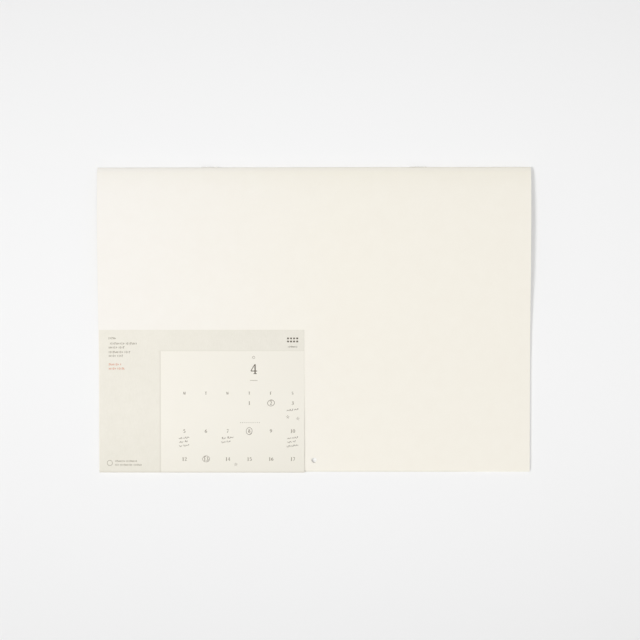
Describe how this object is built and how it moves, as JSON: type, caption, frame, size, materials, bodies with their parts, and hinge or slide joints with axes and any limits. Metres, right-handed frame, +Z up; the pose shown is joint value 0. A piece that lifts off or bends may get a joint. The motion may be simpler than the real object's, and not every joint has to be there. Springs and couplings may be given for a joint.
{
  "type": "wall calendar",
  "caption": "Stapled booklet wall calendar folded shut, with a hanging hole by its open edges and a half-width paper band folded round them to keep it closed.",
  "frame": {"origin": "middle of the whole calendar, on the table that it lies on", "axes": "+X along the fold, +Y towards the fold (the top of the picture), +Z up from the back cover to the front cover"},
  "size_m": [0.297, 0.2106, 0.0055],
  "materials": {
    "cover_paper": "uncoated cream",
    "leaf_paper": "uncoated cream, guillotined edges",
    "band_paper": "uncoated beige print",
    "staple_wire": "drawn wire"
  },
  "bodies": {
    "root": {"cover": "cover_paper", "pages": "leaf_paper", "staples": "staple_wire", "wrapper": "band_paper"}
  },
  "joints": []
}
